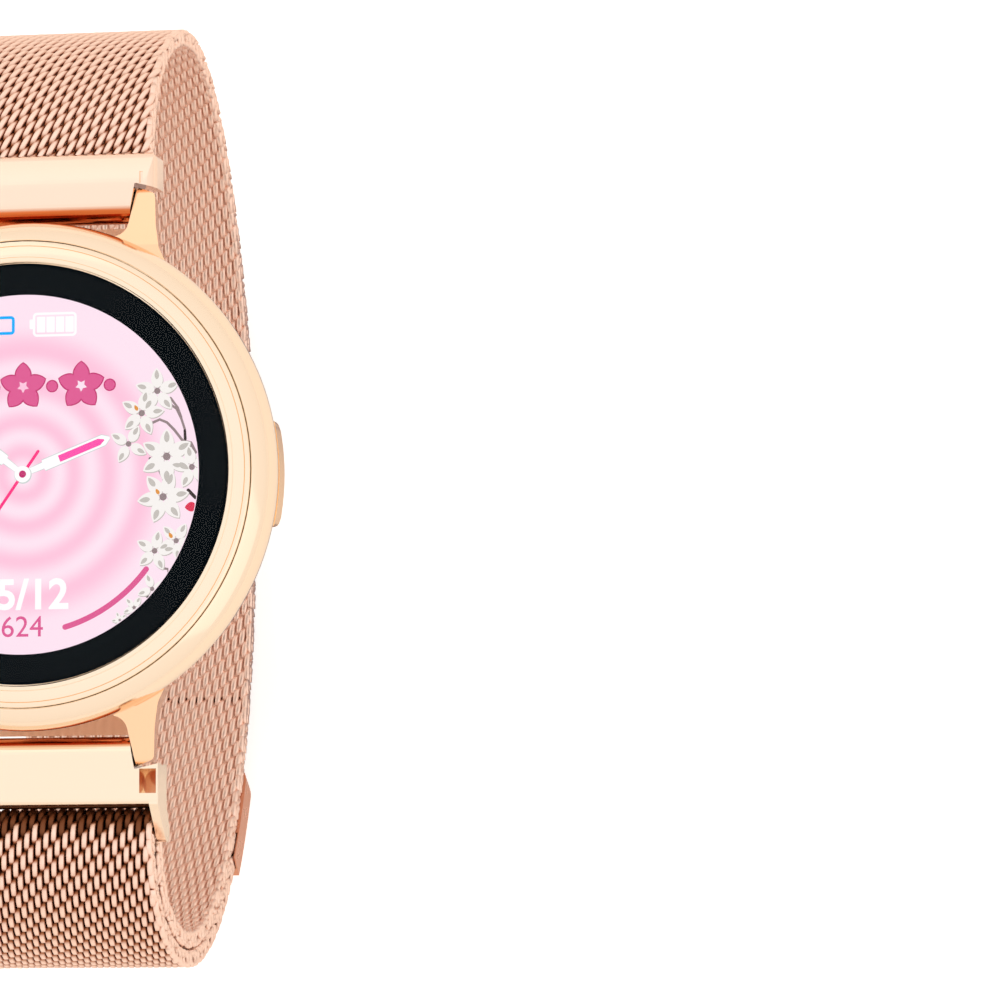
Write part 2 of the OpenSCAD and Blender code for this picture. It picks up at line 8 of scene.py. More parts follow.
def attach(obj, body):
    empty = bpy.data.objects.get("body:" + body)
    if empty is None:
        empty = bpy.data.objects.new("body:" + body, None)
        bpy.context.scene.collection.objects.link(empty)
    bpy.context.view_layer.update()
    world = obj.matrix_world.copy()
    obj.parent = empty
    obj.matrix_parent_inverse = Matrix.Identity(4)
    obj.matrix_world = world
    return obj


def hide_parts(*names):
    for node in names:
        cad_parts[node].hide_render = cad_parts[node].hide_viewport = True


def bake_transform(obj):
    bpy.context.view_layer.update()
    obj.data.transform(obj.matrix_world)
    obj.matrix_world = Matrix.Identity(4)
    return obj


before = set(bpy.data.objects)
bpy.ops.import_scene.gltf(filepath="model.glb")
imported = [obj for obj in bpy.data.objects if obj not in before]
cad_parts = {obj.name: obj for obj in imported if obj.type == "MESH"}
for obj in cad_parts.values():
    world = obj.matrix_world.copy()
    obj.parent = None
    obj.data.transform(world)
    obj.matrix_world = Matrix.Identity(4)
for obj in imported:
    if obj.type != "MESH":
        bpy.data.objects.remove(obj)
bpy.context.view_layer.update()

MM = 0.001
DISPLAY_Z = 9.3

# ---------------------------------------------------------------- materials


def srgb(r, g, b):
    """A colour given as 0 to 255, as Blender's linear values."""
    def linear(c):
        c /= 255
        return c / 12.92 if c <= 0.04045 else ((c + 0.055) / 1.055) ** 2.4
    return linear(r), linear(g), linear(b), 1.0


def material(name, colour, metallic=0.0, rough=(0.3, 0.4), grain=400, bump=0.0, tint=None, **sockets):
    """A finish whose roughness, relief and, with a tint, colour wander with a fine noise."""
    made = bpy.data.materials.new(name)
    made.use_nodes = True
    nodes, links = made.node_tree.nodes, made.node_tree.links
    shader = nodes["Principled BSDF"]
    shader.inputs["Base Color"].default_value = colour
    shader.inputs["Metallic"].default_value = metallic
    for socket, value in sockets.items():
        shader.inputs[socket.replace("_", " ")].default_value = value
    place = nodes.new("ShaderNodeTexCoord")
    noise = nodes.new("ShaderNodeTexNoise")
    noise.inputs["Scale"].default_value = grain
    noise.inputs["Detail"].default_value = 3
    links.new(place.outputs["Object"], noise.inputs["Vector"])
    spread = nodes.new("ShaderNodeMapRange")
    spread.inputs["From Min"].default_value = 0.3
    spread.inputs["From Max"].default_value = 0.7
    spread.inputs["To Min"].default_value, spread.inputs["To Max"].default_value = rough
    links.new(noise.outputs["Fac"], spread.inputs["Value"])
    links.new(spread.outputs["Result"], shader.inputs["Roughness"])
    if bump:
        relief = nodes.new("ShaderNodeBump")
        relief.inputs["Strength"].default_value = bump
        relief.inputs["Distance"].default_value = 0.00005
        links.new(noise.outputs["Fac"], relief.inputs["Height"])
        links.new(relief.outputs["Normal"], shader.inputs["Normal"])
    if tint:
        blend = nodes.new("ShaderNodeMix")
        blend.data_type = "RGBA"
        blend.inputs["A"].default_value = colour
        blend.inputs["B"].default_value = tint
        links.new(noise.outputs["Fac"], blend.inputs["Factor"])
        links.new(blend.outputs["Result"], shader.inputs["Base Color"])
    return made


def math_node(nodes, kind, operation):
    """A node that calculates, set to one operation."""
    made = nodes.new(kind)
    made.operation = operation
    return made


def set_stops(ramp, first, last, between=()):
    """Colours a ramp from 0 to 1; between holds further stops, each as its place and its colour."""
    stops = ramp.color_ramp.elements
    stops[0].position, stops[0].color = 0.0, first
    stops[1].position, stops[1].color = 1.0, last
    for place, colour in between:
        stops.new(place).color = colour


def lit(name, colour, rough=(0.4, 0.6)):
    """A colour that the display shows: it shines by itself and mirrors nothing."""
    made = material(name, (0.01, 0.01, 0.01, 1), 0.0, rough, 800,
                    Specular_IOR_Level=0.0, Emission_Strength=1.0)
    made.node_tree.nodes["Principled BSDF"].inputs["Emission Color"].default_value = colour
    return made


RING_R = 17.76        # the ring pattern's last stop
LIGHT_RINGS = (0.6, 3.1, 5.75, 8.7, 12.5)
DARK_RINGS = (1.8, 4.3, 7.2, 10.2)


def display_material():
    """A lit pink panel with soft rings about its middle."""
    made = lit("display_pink", srgb(253, 228, 242))
    nodes, links = made.node_tree.nodes, made.node_tree.links
    place = nodes.new("ShaderNodeTexCoord")
    flat = math_node(nodes, "ShaderNodeVectorMath", "MULTIPLY")
    flat.inputs[1].default_value = (1, 1, 0)
    away = math_node(nodes, "ShaderNodeVectorMath", "LENGTH")
    reach = math_node(nodes, "ShaderNodeMath", "DIVIDE")
    reach.inputs[1].default_value = RING_R * MM
    ramp = nodes.new("ShaderNodeValToRGB")
    ramp.color_ramp.interpolation = "EASE"
    links.new(place.outputs["Object"], flat.inputs[0])
    links.new(flat.outputs["Vector"], away.inputs[0])
    links.new(away.outputs["Value"], reach.inputs[0])
    links.new(reach.outputs["Value"], ramp.inputs["Fac"])
    light, dark = srgb(254, 228, 242), srgb(255, 198, 222)
    rings = [(radius / RING_R, light) for radius in LIGHT_RINGS]
    rings += [(radius / RING_R, dark) for radius in DARK_RINGS]
    set_stops(ramp, light, light, rings)
    links.new(ramp.outputs["Color"], nodes["Principled BSDF"].inputs["Emission Color"])
    return made


# The woven finish's colours, from the crests down to the painted shade in the hollows.
CREST_ROSE = srgb(255, 223, 207)
SLOPE_ROSE = srgb(176, 112, 78)
HOLLOW_SHADE_BROWN = srgb(70, 36, 20)


def woven_material():
    """Rose steel wire with painted shade: brown and dull down between the wires, rose on the crests."""
    made = material("mesh_rose", CREST_ROSE, 1.0, (0.42, 0.52), 900, 0.03)
    nodes, links = made.node_tree.nodes, made.node_tree.links
    crest = nodes.new("ShaderNodeAttribute")
    crest.attribute_name = "crest"
    ramp = nodes.new("ShaderNodeValToRGB")
    set_stops(ramp, HOLLOW_SHADE_BROWN, CREST_ROSE, [(0.5, SLOPE_ROSE)])
    links.new(crest.outputs["Fac"], ramp.inputs["Fac"])
    links.new(ramp.outputs["Color"], nodes["Principled BSDF"].inputs["Base Color"])
    return made


def place_mask(made, centre, size, start, end):
    """0 up to start and 1 from end, counted in half sizes (mm) from a centre on either side of the middle.

    A half size of None leaves that axis out.
    """
    nodes, links = made.node_tree.nodes, made.node_tree.links
    place = nodes.new("ShaderNodeTexCoord")
    either_side = math_node(nodes, "ShaderNodeVectorMath", "ABSOLUTE")
    moved = math_node(nodes, "ShaderNodeVectorMath", "MULTIPLY_ADD")
    moved.inputs[1].default_value = [0 if extent is None else 1 / (extent * MM) for extent in size]
    moved.inputs[2].default_value = [0 if extent is None else -at / extent
                                     for at, extent in zip(centre, size)]
    away = math_node(nodes, "ShaderNodeVectorMath", "LENGTH")
    reach = nodes.new("ShaderNodeMapRange")
    reach.inputs["From Min"].default_value = start
    reach.inputs["From Max"].default_value = end
    links.new(place.outputs["Object"], either_side.inputs[0])
    links.new(either_side.outputs["Vector"], moved.inputs[0])
    links.new(moved.outputs["Vector"], away.inputs[0])
    links.new(away.outputs["Value"], reach.inputs["Value"])
    return reach.outputs["Result"]


def toned(made, *tones):
    """Mixes other colours into a finish, each where its mask is 0."""
    nodes, links = made.node_tree.nodes, made.node_tree.links
    base = nodes["Principled BSDF"].inputs["Base Color"]
    last = None
    for mask, colour in tones:
        mix = nodes.new("ShaderNodeMix")
        mix.data_type = "RGBA"
        mix.inputs["A"].default_value = colour
        mix.inputs["B"].default_value = base.default_value
        links.new(mask, mix.inputs["Factor"])
        if last:
            links.new(last, mix.inputs["B"])
        last = mix.outputs["Result"]
    links.new(last, base)
    return made


CASE_GOLD = srgb(250, 228, 204)
# Painted shade: a deeper gold on top of the lugs.
LUG_TOP_SHADE_GOLD = srgb(254, 208, 168)
# Painted reflection: deep gold along the links' rounded edge by the case.
EDGE_REFLECTION_GOLD = srgb(214, 120, 70)
# Painted shade: darker rose down in the loop link's recess.
RECESS_SHADE_ROSE = srgb(214, 158, 130)
LINK_EDGE_Y = 21.0            # the links' edges by the case
LINK_EDGE_W = (0.95, 1.3)     # the painted reflection, a deep gold, ends between these distances from there
LUG_TOP = ((9.6, 21.0, 7.2), (4.6, 5.0, 0.65))       # centre and half sizes
LUG_TOP_EDGE = (0.85, 1.0)
LOOP_RECESS = ((10, 25.1, 5.7), (0.8, 1.3, 1.35))    # centre and half sizes of the painted shade in the loop link's recess
LOOP_RECESS_EDGE = (0.9, 1.0)
CASE_ROUGH = (0.1, 0.15)
GOLD_ROUGH = (0.12, 0.18)


def link_material(name, colour, recess=None):
    """The links' gold, with a painted reflection in deep gold along the rounded edge by the case and painted
    shade in rose down in the recesses.
    """
    made = material(name, colour, 1.0, GOLD_ROUGH, 700, 0.01)
    tones = [(place_mask(made, (0, LINK_EDGE_Y, 0), (None, 1, None), *LINK_EDGE_W), EDGE_REFLECTION_GOLD)]
    if recess:
        tones.append((place_mask(made, *recess, *LOOP_RECESS_EDGE), RECESS_SHADE_ROSE))
    return toned(made, *tones)


def case_material():
    """The case's gold, with painted shade that makes it a little deeper on top of the lugs."""
    made = material("case_gold", CASE_GOLD, 1.0, CASE_ROUGH, 700, 0.01)
    return toned(made, (place_mask(made, *LUG_TOP, *LUG_TOP_EDGE), LUG_TOP_SHADE_GOLD))


PLAIN = {              # colour, metallic, roughness, grain, bump, tint
    "seal_rubber": (srgb(22, 22, 24), 0.0, (0.6, 0.8), 900, 0.2),
    "flex_film": (srgb(178, 98, 30), 0.0, (0.3, 0.5), 500, 0.1, srgb(150, 80, 24)),
    "frame_plastic": (srgb(52, 53, 56), 0.0, (0.5, 0.65), 900, 0.1),
    "board_green": (srgb(18, 84, 50), 0.0, (0.35, 0.5), 500, 0.1, srgb(12, 66, 40)),
    "chip_black": (srgb(28, 28, 30), 0.0, (0.4, 0.55), 900, 0.1),
    "plain_steel": (srgb(196, 198, 202), 1.0, (0.2, 0.35), 700, 0.05),
    "magnet": (srgb(150, 152, 158), 1.0, (0.3, 0.45), 700, 0.05),
    "battery_foil": (srgb(170, 172, 176), 0.8, (0.3, 0.45), 250, 0.3),
    "foam": (srgb(60, 60, 64), 0.0, (0.8, 0.95), 1500, 0.5),
    "back_plastic": (srgb(30, 30, 33), 0.0, (0.35, 0.5), 700, 0.08),
    "sensor_glass": (srgb(10, 11, 14), 0.0, (0.03, 0.06), 300),
    "sensor_diode": (srgb(120, 190, 140), 0.0, (0.2, 0.3), 500, 0.05),
    "contact_gold": (srgb(236, 196, 120), 1.0, (0.15, 0.28), 900, 0.05),
    "liner_rose": (srgb(226, 172, 146), 0.3, (0.5, 0.65), 900, 0.1),
    "button_gold": (srgb(255, 210, 162), 1.0, GOLD_ROUGH, 700, 0.01),
    "tab_rose": (srgb(216, 148, 116), 0.5, (0.25, 0.35), 700, 0.03),
}
FINISH = {name: material(name, *row) for name, row in PLAIN.items()}
FINISH.update({
    "case_gold": material("plain_gold", CASE_GOLD, 1.0, CASE_ROUGH, 700, 0.01),
    "lug_gold": case_material(),
    "link_gold": link_material("link_gold", srgb(250, 222, 202)),
    "loop_gold": link_material("loop_gold", CASE_GOLD, LOOP_RECESS),
    "mesh_rose": woven_material(),
    "cover_glass": material("cover_glass", (1, 1, 1, 1), 0.0, (0.0, 0.02), 300,
                            Transmission_Weight=1.0, IOR=1.18),
    # Painted light: the black print glows faintly, a very dark blue-grey.
    "black_print": material("black_print", srgb(20, 24, 28), 0.0, (0.5, 0.6), 900,
                            Specular_IOR_Level=0.0, Emission_Color=srgb(6, 11, 15),
                            Emission_Strength=1.0),
    "display": display_material(),
})


def finish(piece, slot, paint=None):
    """Gives a piece the slot's own finish or another paint."""
    piece.data.materials.clear()
    piece.data.materials.append(paint or FINISH[slot])
    return piece


def new_mesh(name, points, faces, slot, smooth=True, paint=None):
    """An object from points in millimetres, in the row frame."""
    mesh = bpy.data.meshes.new(name)
    mesh.from_pydata((np.asarray(points, float) * MM).tolist(), [], faces)
    mesh.validate()
    mesh.update()
    if smooth:
        mesh.shade_smooth()
    made = bpy.data.objects.new(name, mesh)
    bpy.context.collection.objects.link(made)
    return finish(made, slot, paint)


def arc_line(radius, a0, a1, n=32, centre=(0, 0)):
    a = np.radians(np.linspace(a0, a1, n + 1))
    return np.column_stack([centre[0] + radius * np.cos(a), centre[1] + radius * np.sin(a)])


def disc(centre, radius, n=32):
    return arc_line(radius, 0, 360 - 360 / n, n - 1, centre)


# ---------------------------------------------------------------- the band's path

BAND_W = 20.0
LOOP_UP = 38.75
LOOP_LOW = 37.85
LOOP_Z = -8.4
LOOP_DEPTH = 25.25
LAYER_STEP = 1.6
SQUEEZE = 0.045
BAND_START = (25.1, 5.65)
BAND_EXIT_Y = 26.9
FOLD = (-29.15, 3.8)
FOLD_R = 1.3
PEEL_AT = 156.0
TAIL_TO = 137.2


def oval(centre, rx, ry, a0, a1, n):
    a = np.radians(np.linspace(a0, a1, n + 1)[1:])
    return np.column_stack([centre[0] + rx * np.cos(a), centre[1] + ry * np.sin(a)])


def rear_path(n):
    t = np.radians(np.linspace(0, 180, n + 1)[1:])
    upper = t < math.pi / 2
    s = np.where(upper, 1 - SQUEEZE * np.sin(2 * t) ** 2, 1)
    y = np.where(upper, LOOP_UP, LOOP_LOW) * np.cos(t) * s
    return np.column_stack([y, LOOP_Z - LOOP_DEPTH * np.sin(t) * s])


def tail_path(a0, a1, n):
    return oval((0, LOOP_Z), LOOP_LOW + LAYER_STEP, LOOP_DEPTH + LAYER_STEP, -a0, -a1, n)


STRETCHES = [
    ("upper", np.vstack([
        np.linspace(BAND_START, (BAND_EXIT_Y, BAND_START[1]), 12),
        oval((BAND_EXIT_Y, LOOP_Z), LOOP_UP - BAND_EXIT_Y, BAND_START[1] - LOOP_Z, 90, 0, 150)])),
    ("rear", rear_path(600)),
    ("inner", oval((FOLD[0], LOOP_Z), LOOP_LOW + FOLD[0], FOLD[1] - FOLD_R - LOOP_Z, 180, 90, 120)),
    ("fold", oval(FOLD, FOLD_R, FOLD_R, -90, 90, 60)),
    ("outer", oval((FOLD[0], LOOP_Z), LOOP_LOW + LAYER_STEP + FOLD[0], FOLD[1] + FOLD_R - LOOP_Z,
                   90, 180, 150)),
    ("tail", tail_path(180, PEEL_AT, 100)),
    ("tail_end", tail_path(PEEL_AT, TAIL_TO, 80)),
]

band = np.vstack([points for _, points in STRETCHES])
band_s = np.concatenate([[0], np.cumsum(np.linalg.norm(np.diff(band, axis=0), axis=1))])
band_dir = np.gradient(band, band_s, axis=0)
band_dir /= np.linalg.norm(band_dir, axis=1, keepdims=True)
stretch_end = {}
count = 0
for stretch, points in STRETCHES:
    count += len(points)
    stretch_end[stretch] = band_s[count - 1]


def along_band(s):
    """The middle plane's [y, z] at length s, and its direction of travel there."""
    point = np.stack([np.interp(s, band_s, band[:, k]) for k in (0, 1)], -1)
    way = np.stack([np.interp(s, band_s, band_dir[:, k]) for k in (0, 1)], -1)
    return point, way / np.linalg.norm(way, axis=-1, keepdims=True)


# ---------------------------------------------------------------- woven wire

ROW = 0.56            # from one coil to the next, along the band
TURN = 1.615          # from one turn of a coil to the next, across the band
ROW_SHIFT = 0.585     # how far each coil starts beside the one before, in turns
COIL_LONG = 0.80      # half of a coil's size along the band
COIL_DEEP = 0.56      # half of a coil's size through the band
LEAN = 0.25           # how much more a wire crosses on the outer face than on the inner
WIRE_R = 0.27
FLAT_AT = 0.73        # the faces of the woven band are rolled flat here
END_TURN = 0.35       # how much of a turn each coil runs on at the edges of the band
STEPS = 12            # along one turn
CORE_INSET = 0.6      # how far the weave's packed middle stays inside the band's edges
SPARE = 0.6           # turns that a coil is first made too long at either edge
HOLLOW_TOP = 0.38     # the painted shade on a wire is darkest up to this height over the band's middle plane
HOLLOW_FADE = 0.34    # and clears up over this much more
EDGE_CLEAR = 0.15     # no painted shade this near to the band's edges
EDGE_FADE = 0.4       # and the painted shade sets in over this much more
ROW_START = COIL_LONG + WIRE_R + 0.1
SECTION = np.radians([-38, 38, 90, 145, 215, 270])


def coil(k, s_row):
    """One row: the rings of points of a flattened coil across the band, and each point's height over the
    band's middle plane before the flattening.
    """
    edge = BAND_W / 2 - WIRE_R
    start = (k * ROW_SHIFT) % 1 - SPARE
    turns = 2 * edge / TURN + 2 * SPARE
    steps = np.arange(math.floor((start - 1.0) * STEPS), math.ceil((turns + 1) * STEPS))
    theta = 2 * math.pi * steps / STEPS
    x = TURN * (theta / (2 * math.pi) + LEAN * (1 - np.cos(theta)) / 2 + start) - edge
    keep = (x > -edge - END_TURN * TURN) & (x < edge + END_TURN * TURN)
    theta, x = theta[keep], np.clip(x[keep], -edge, edge)
    u, w = -COIL_LONG * np.cos(theta), COIL_DEEP * np.sin(theta)
    mid, way = along_band(s_row + u)
    out = np.column_stack([-way[:, 1], way[:, 0]])
    yz = mid + out * w[:, None]
    centre = np.column_stack([x, yz])
    radial = -np.cos(theta)[:, None] * way + np.sin(theta)[:, None] * out
    radial = np.column_stack([np.zeros(len(x)), radial])
    run = np.gradient(centre, axis=0)
    run /= np.linalg.norm(run, axis=1, keepdims=True)
    top = radial - (radial * run).sum(1, keepdims=True) * run
    top /= np.linalg.norm(top, axis=1, keepdims=True)
    across = np.cross(run, top)
    ring = (centre[:, None] + WIRE_R * (np.cos(SECTION)[None, :, None] * top[:, None]
                                        + np.sin(SECTION)[None, :, None] * across[:, None]))
    out3 = np.column_stack([np.zeros(len(x)), out])
    mid3 = np.column_stack([np.zeros(len(x)), mid])
    height = ((ring - mid3[:, None]) * out3[:, None]).sum(2)
    ring += (np.clip(height, -FLAT_AT, FLAT_AT) - height)[..., None] * out3[:, None]
    return ring, height


def crest_of(ring, height, hollow_shade_in, hollow_shade_out):
    """1 on the crests of the wires, less down between them by how deep each face's painted shade in the
    hollows is.
    """
    depth = 1 - np.clip((np.abs(height) - HOLLOW_TOP) / HOLLOW_FADE, 0, 1)
    depth *= np.clip((BAND_W / 2 - EDGE_CLEAR - np.abs(ring[..., 0])) / EDGE_FADE, 0, 1)
    return 1 - depth * np.where(height > 0, hollow_shade_out, hollow_shade_in)


def core(rows, thick):
    """The tightly packed middle of the weave, as a thin strip between the first row and the last."""
    ends = [ROW_START + k * ROW for k in (rows[0], rows[-1])]
    mid, way = along_band(np.linspace(*ends, 2 * len(rows)))
    out = np.column_stack([-way[:, 1], way[:, 0]]) * np.linspace(*thick, len(mid))[:, None] / 2
    half = BAND_W / 2 - CORE_INSET
    ring = np.stack([np.column_stack([np.full(len(mid), x), mid + side * out])
                     for x, side in ((half, 1), (-half, 1), (-half, -1), (half, -1))], 1)
    n = len(ring)
    faces = [[4 * i + j, 4 * i + (j + 1) % 4, 4 * i + 4 + (j + 1) % 4, 4 * i + 4 + j]
             for i in range(n - 1) for j in range(4)]
    return ring.reshape(-1, 3), faces + [[3, 2, 1, 0], [4 * n - 4, 4 * n - 3, 4 * n - 2, 4 * n - 1]]


def rose_mesh(name, points, faces, crest):
    """A mesh in the woven finish, with how much of a crest each of its points is."""
    made = new_mesh(name, points, faces, "mesh_rose")
    made.data.attributes.new("crest", "FLOAT", "POINT").data.foreach_set("value", crest)
    return made


def woven(name, rows, hollow_shade_in=(1, 1), hollow_shade_out=(1, 1), painted_light_level=1.0, core_crest=None,
          core_t=(0.5, 0.5)):
    """Rows of interlocked coils as one mesh; each pair holds for its first row and its last."""
    points, faces, crest, first = [], [], [], 0
    n = len(SECTION)
    for k in rows:
        ring, height = coil(k, ROW_START + k * ROW)
        m = len(ring)
        dark = [np.interp(k, (rows[0], rows[-1]), pair) for pair in (hollow_shade_in, hollow_shade_out)]
        crest.append(crest_of(ring, height, *dark).ravel() * painted_light_level)
        points.append(ring.reshape(-1, 3))
        i = np.arange(m - 1)[:, None] * n + first
        j = np.arange(n)[None, :]
        a, b = i + j, i + (j + 1) % n
        faces += np.stack([a, b, b + n, a + n], -1).reshape(-1, 4).tolist()
        faces.append(list(range(first + n - 1, first - 1, -1)))
        last = first + (m - 1) * n
        faces.append(list(range(last, last + n)))
        first += m * n
    # The core strip is painted one even shade, partway down from the crest colour towards the hollows.
    if core_crest is not None:
        core_points, core_faces = core(rows, core_t)
        points.append(core_points)
        faces += [[first + i for i in face] for face in core_faces]
        crest.append(np.full(len(core_points), core_crest))
    return rose_mesh(name, np.vstack(points), faces, np.concatenate(crest))


def wire(name, half_l, y, z, radius, crest):
    """A straight wire across the band."""
    sides = 12
    round_it = np.column_stack([np.zeros(sides), disc((y, z), radius, sides)])
    points = np.vstack([round_it + (x, 0, 0) for x in (-half_l, half_l)])
    faces = [[j, (j + 1) % sides, sides + (j + 1) % sides, sides + j] for j in range(sides)]
    faces += [list(range(sides - 1, -1, -1)), list(range(sides, 2 * sides))]
    return rose_mesh(name, points, faces, np.full(2 * sides, crest))


def rows_between(s0, s1):
    return range(math.ceil((s0 - ROW_START) / ROW), math.ceil((s1 - ROW_START) / ROW))


BEND_HALF = 2.5       # half of the stretch that bends when the tab is lifted
SEAM = (-26.98, 4.1)  # [y, z] of the wire that closes the slot between the loop link and the fold

# Each stretch sets how deep the painted shade in its hollows is, on the inner and the outer face, and the
# core strip's painted shade.
piece = woven("weave_upper", rows_between(0, stretch_end["upper"]),
              hollow_shade_in=(0, 0), hollow_shade_out=(1, 0.4), core_crest=0.6, core_t=(0.5, 0.95))
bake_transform(piece)
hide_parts("strap_upper")
cuts = np.linspace(stretch_end["upper"], stretch_end["rear"], 4)
for n in range(3):
    piece = woven(f"weave_rear_{n + 1}", rows_between(cuts[n], cuts[n + 1]),
                  hollow_shade_in=(0, 0), hollow_shade_out=(0.4, 0.4), core_crest=0.8, core_t=(0.95, 0.95))
    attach(piece, "case")
    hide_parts("strap_rear")
piece = woven("weave_inner", rows_between(stretch_end["rear"], stretch_end["inner"]),
              hollow_shade_in=(0, 0.4), hollow_shade_out=(0.4, 1), core_crest=0.8, core_t=(0.95, 0.5))
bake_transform(piece)
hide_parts("strap_inner")
# The fold is painted much darker all over: painted shade, for it lies in shadow under the loop link.
piece = woven("weave_fold", rows_between(stretch_end["inner"], stretch_end["fold"]), painted_light_level=0.2)
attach(piece, "loop")
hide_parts("strap_fold")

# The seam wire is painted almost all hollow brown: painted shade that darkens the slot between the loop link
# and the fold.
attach(wire("fold_seam_wire", BAND_W / 2 - 0.1, *SEAM, 0.22, 0.1), "loop")
piece = woven("weave_outer", rows_between(stretch_end["fold"], stretch_end["outer"]))
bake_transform(piece)
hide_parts("strap_outer")
peel_s = stretch_end["tail"]
piece = woven("weave_tail", rows_between(stretch_end["outer"], peel_s - BEND_HALF))
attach(piece, "case")
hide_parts("strap_tail")
piece = woven("weave_bend", rows_between(peel_s - BEND_HALF, peel_s + BEND_HALF))
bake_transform(piece)
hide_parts("strap_tail")
piece = woven("weave_tail_end", rows_between(peel_s + BEND_HALF, stretch_end["tail_end"]))
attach(piece, "clasp")
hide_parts("strap_tail_end")

# ---------------------------------------------------------------- what the display shows

ART_STEP = 0.011      # each layer of the picture lies this much higher
ART_R = 14.72         # nothing is drawn beyond this radius

WHITE = srgb(255, 255, 255)
SHADE = srgb(206, 214, 212)
MAGENTA = srgb(224, 92, 148)
DEEP_MAGENTA = srgb(196, 50, 112)
HOT_PINK = srgb(255, 84, 174)
PINK_LINE = srgb(255, 50, 132)
BLUE = srgb(0, 176, 255)
PETAL = srgb(248, 243, 240)
PETAL_GREY = srgb(198, 192, 186)
STEM_GREY = srgb(150, 132, 134)
DARK_BROWN = srgb(56, 44, 44)
AMBER = srgb(226, 150, 70)
RED = srgb(222, 52, 84)


def stroke(points, width, round_ends=True):
    """The outline of a line drawn with a round pen."""
    p = np.asarray(points, float)
    way = np.gradient(p, axis=0)
    way /= np.linalg.norm(way, axis=1, keepdims=True)
    left = np.column_stack([-way[:, 1], way[:, 0]]) * width / 2
    outline = [p + left]
    if round_ends:
        a = np.radians(np.linspace(75, -75, 7))[:, None]
        outline.append(p[-1] + width / 2 * (np.cos(a) * way[-1]) + np.sin(a) * left[-1])
    outline.append((p - left)[::-1])
    if round_ends:
        outline.append(p[0] - width / 2 * (np.cos(a) * way[0]) - np.sin(a) * left[0])
    return np.vstack(outline)


def rounded(x0, y0, x1, y1, r):
    corners = ((x1 - r, y1 - r, 0), (x0 + r, y1 - r, 90), (x0 + r, y0 + r, 180), (x1 - r, y0 + r, 270))
    return np.vstack([arc_line(r, a, a + 90, 5, (x, y)) for x, y, a in corners])


def frame_line(x0, y0, x1, y1, r, width):
    """A rounded frame, as one closed stroke."""
    path = rounded(x0, y0, x1, y1, r)
    return stroke(np.vstack([path, path[:1]]), width, False)


def along(points, direction):
    """Points given along and beside a direction, turned into place about the middle."""
    a = math.radians(direction)
    p = np.asarray(points, float)
    return p @ np.array([[math.cos(a), math.sin(a)], [-math.sin(a), math.cos(a)]])


def petal(centre, direction, length, width, start=0.12):
    """A pointed leaf that grows from beside the centre."""
    t = np.linspace(0, 1, 10)
    half = width / 2 * np.sin(math.pi * t ** 0.8) ** 0.75
    x = length * (start + (1 - start) * t)
    outline = np.vstack([np.column_stack([x, half]), np.column_stack([x, -half])[-2:0:-1]])
    return along(outline, direction) + centre


def drawn(name, outlines, layer, colour):
    """Flat shapes as one thin piece of the picture."""
    points, faces = [], []
    z0, z1 = (DISPLAY_Z + ART_STEP * (layer + d) for d in (-0.7, 0))
    for outline in outlines:
        far = np.linalg.norm(outline, axis=1, keepdims=True)
        outline = outline * np.minimum(1, ART_R / np.maximum(far, 0.001))
        n, first = len(outline), len(points)
        points += [(x, y, z0) for x, y in outline] + [(x, y, z1) for x, y in outline]
        faces.append([first + i for i in range(n - 1, -1, -1)])
        faces.append([first + n + i for i in range(n)])
        faces += [[first + i, first + (i + 1) % n, first + n + (i + 1) % n, first + n + i]
                  for i in range(n)]
    piece = new_mesh(name, points, faces, "display", False, lit(name, colour))
    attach(piece, "case")


def figures(name, text, centre, height, weight, colour, layer):
    """Plain numbers in Blender's own font, as a thin mesh."""
    curve = bpy.data.curves.new(name, "FONT")
    curve.body = text
    curve.align_x, curve.align_y = "CENTER", "CENTER"
    curve.size = height * MM / 0.7
    curve.offset = weight * MM
    curve.extrude = ART_STEP * MM * 0.35
    curve.resolution_u = 4
    holder = bpy.data.objects.new(name + "_outline", curve)
    bpy.context.collection.objects.link(holder)
    bpy.context.view_layer.update()
    mesh = bpy.data.meshes.new_from_object(holder.evaluated_get(bpy.context.evaluated_depsgraph_get()))
    bpy.data.objects.remove(holder)
    place = Vector((centre[0], centre[1], DISPLAY_Z + ART_STEP * (layer - 0.35))) * MM
    mesh.transform(Matrix.Translation(place))
    made = bpy.data.objects.new(name, mesh)
    bpy.context.collection.objects.link(made)
    finish(made, "display", lit(name, colour))
    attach(made, "case")


def hand(name, direction, length, layer):
    """A white hand: a narrow stem, then a broad blade with a pink insert."""
    blade = [(0, 0.22), (1.85, 0.26), (1.9, 0.45), (length - 0.55, 0.45), (length, 0.08)]
    insert = [(3.3, 0.28), (length - 0.95, 0.28), (length - 0.5, 0.05)]
    for part, points, height, colour in (
            ("edge", [(x, y + 0.06 * (x > 0)) for x, y in blade], layer - 1, SHADE),
            ("blade", blade, layer, WHITE), ("insert", insert, layer + 1, HOT_PINK)):
        outline = np.vstack([points, np.array(points)[::-1] * (1, -1)])
        drawn(f"{name}_{part}", [along(outline, direction)], height, colour)


def blossom(centre, turn, size, petals=5, wide=0.52):
    """The outlines of one blossom: petals, their grey tips and hearts, and the middle."""
    angles = [turn + 360 * k / petals for k in range(petals)]
    tips = np.array([along([(size * 0.62, 0)], a)[0] + centre for a in angles])
    return ([petal(centre, a, size, size * wide) for a in angles],
            [petal(tip, a, size * 0.3, size * 0.2, -0.4) for tip, a in zip(tips, angles)],
            [disc(centre, size * 0.14, 12)])


